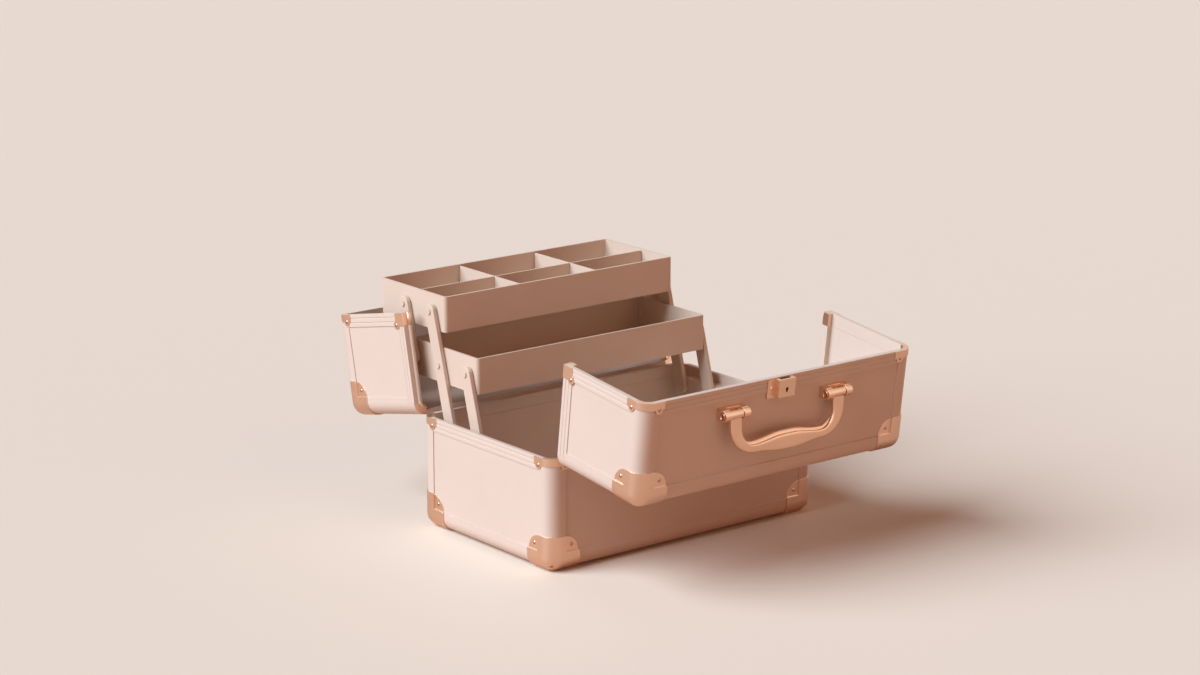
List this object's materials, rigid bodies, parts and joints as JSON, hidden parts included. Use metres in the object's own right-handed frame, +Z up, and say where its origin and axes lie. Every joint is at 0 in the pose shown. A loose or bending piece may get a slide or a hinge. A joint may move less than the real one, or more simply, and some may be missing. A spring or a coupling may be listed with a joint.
{
  "type": "makeup storage case with handle",
  "caption": "Split-top makeup train case with metal corners, lock and handle: two lid halves swing apart and lift trays rise on folding arms.",
  "frame": {"origin": "middle of the bottom board's underside, on which the case stands", "axes": "+X to the right along the width, +Y to the rear, +Z up; the handle side is -Y"},
  "size_m": [0.3634, 0.5536, 0.249],
  "materials": {
    "panel_skin": "satin laminate",
    "profile_metal": "satin powder coat",
    "tray_shell": "satin",
    "arm_bar": "satin",
    "block_plastic": "satin",
    "rose_metal": "satin rose-gold plate",
    "rivet_metal": "satin rose-gold plate"
  },
  "bodies": {
    "base": {"base_front_panel": "panel_skin", "base_rear_panel": "panel_skin", "base_left_panel": "panel_skin", "base_right_panel": "panel_skin", "base_bottom_board": "panel_skin", "base_edge_profiles": "profile_metal", "base_rim_bars": "profile_metal", "base_rim_joiners": "rose_metal", "base_ball_corners": "rose_metal", "base_rivets": "rivet_metal", "front_hinge_base_leaves": "rose_metal", "front_hinge_pins": "rivet_metal", "rear_hinge_base_leaves": "rose_metal", "rear_hinge_pins": "rivet_metal", "left_arm_block": "rose_metal", "right_arm_block": "rose_metal", "base_pivot_rivets": "rivet_metal"},
    "front_lid": {"front_lid_top_panel": "panel_skin", "front_lid_front_panel": "panel_skin", "front_lid_left_panel": "panel_skin", "front_lid_right_panel": "panel_skin", "front_lid_edge_profiles": "profile_metal", "front_lid_rim_bars": "profile_metal", "front_lid_rim_joiners": "rose_metal", "front_lid_ball_corners": "rose_metal", "front_lid_rivets": "rivet_metal", "front_hinge_lid_leaves": "rose_metal", "left_handle_bracket": "rose_metal", "right_handle_bracket": "rose_metal", "handle_pins": "rivet_metal", "lock_body": "rose_metal", "lock_screw": "rivet_metal"},
    "rear_lid": {"rear_lid_top_panel": "panel_skin", "rear_lid_rear_panel": "panel_skin", "rear_lid_left_panel": "panel_skin", "rear_lid_right_panel": "panel_skin", "rear_lid_edge_profiles": "profile_metal", "rear_lid_rim_bars": "profile_metal", "rear_lid_rim_joiners": "rose_metal", "rear_lid_ball_corners": "rose_metal", "rear_lid_rivets": "rivet_metal", "rear_hinge_lid_leaves": "rose_metal", "lock_strike": "rose_metal"},
    "long_arms": {"left_long_arm": "arm_bar", "right_long_arm": "arm_bar"},
    "rear_arms": {"left_rear_arm": "arm_bar", "right_rear_arm": "arm_bar"},
    "front_arms": {"left_front_arm": "arm_bar", "right_front_arm": "arm_bar"},
    "lower_tray": {"lower_tray": "tray_shell", "lower_tray_rivets": "rivet_metal"},
    "upper_tray": {"upper_tray": "tray_shell", "upper_tray_long_divider": "tray_shell", "upper_tray_cross_dividers": "tray_shell", "upper_tray_rivets": "rivet_metal"},
    "handle": {"handle_bail": "rose_metal"},
    "lock_core": {"lock_cylinder": "rivet_metal"}
  },
  "joints": [
    {"name": "front_lid_hinge", "type": "hinge", "parent": "base", "child": "front_lid", "pos_m": [0, -0.1155, 0.1157], "axis": [-1, 0, 0], "range_deg": [0, 97]},
    {"name": "rear_lid_hinge", "type": "hinge", "parent": "base", "child": "rear_lid", "pos_m": [0, 0.1155, 0.1157], "axis": [1, 0, 0], "range_deg": [0, 102]},
    {"name": "long_arm_pivot", "type": "hinge", "parent": "base", "child": "long_arms", "pos_m": [0, 0.086, 0.1022], "axis": [1, 0, 0], "range_deg": [0, 60]},
    {"name": "front_arm_pivot", "type": "hinge", "parent": "base", "child": "front_arms", "pos_m": [0, 0.038, 0.1022], "axis": [1, 0, 0], "range_deg": [0, 60]},
    {"name": "lower_tray_pivot", "type": "hinge", "parent": "long_arms", "child": "lower_tray", "pos_m": [0, 0.10667, 0.1743], "axis": [1, 0, 0], "range_deg": [-60, 0]},
    {"name": "upper_tray_pivot", "type": "hinge", "parent": "long_arms", "child": "upper_tray", "pos_m": [0, 0.12266, 0.23005], "axis": [1, 0, 0], "range_deg": [-60, 0]},
    {"name": "rear_arm_pivot", "type": "hinge", "parent": "lower_tray", "child": "rear_arms", "pos_m": [0, 0.15467, 0.1743], "axis": [1, 0, 0], "range_deg": [0, 60]},
    {"name": "handle_hinge", "type": "hinge", "parent": "front_lid", "child": "handle", "pos_m": [0, -0.2692, 0.1867], "axis": [-1, 0, 0], "range_deg": [-8, 100]},
    {"name": "lock_turn", "type": "hinge", "parent": "front_lid", "child": "lock_core", "pos_m": [0, -0.26898, 0.20133], "axis": [0, -0.9925, -0.1219], "range_deg": [0, 90]}
  ],
  "couplings": [
    {"joint": "long_arm_pivot", "follows": "rear_lid_hinge", "ratio": 0.58823},
    {"joint": "front_arm_pivot", "follows": "rear_lid_hinge", "ratio": 0.58823},
    {"joint": "lower_tray_pivot", "follows": "rear_lid_hinge", "ratio": -0.58823},
    {"joint": "upper_tray_pivot", "follows": "rear_lid_hinge", "ratio": -0.58823},
    {"joint": "rear_arm_pivot", "follows": "rear_lid_hinge", "ratio": 0.58823}
  ]
}
